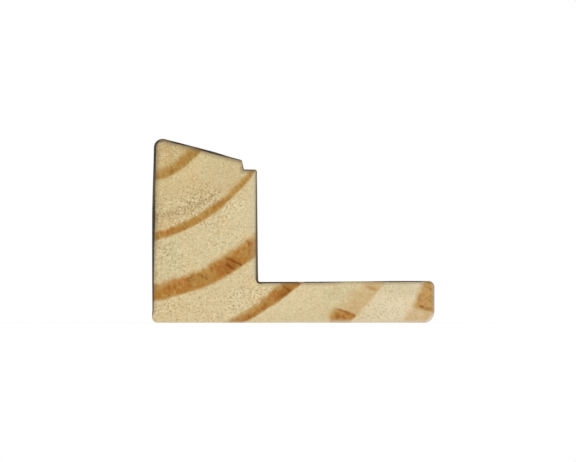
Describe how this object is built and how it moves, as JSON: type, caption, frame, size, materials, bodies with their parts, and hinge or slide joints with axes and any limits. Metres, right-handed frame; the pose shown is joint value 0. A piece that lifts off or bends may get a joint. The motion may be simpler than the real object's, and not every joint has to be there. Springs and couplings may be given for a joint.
{
  "type": "picture frame moulding",
  "caption": "L-shaped pine moulding for a floating picture frame: a sloping face with a small sight-edge step on a tall wall, and a flat ledge that carries the canvas.",
  "frame": {"origin": "middle of the stick's back, half way along it and half way across it, on the surface that it lies on", "axes": "+Y along the stick, +Z from the back up to the crown, +X from the outer face towards the tip of the ledge"},
  "size_m": [0.054, 0.3048, 0.0352],
  "materials": {
    "pine": "bare sawn softwood, wide growth rings",
    "black_finish": "satin brown-black paint on the show faces"
  },
  "bodies": {
    "root": {"moulding": "pine"}
  },
  "joints": []
}
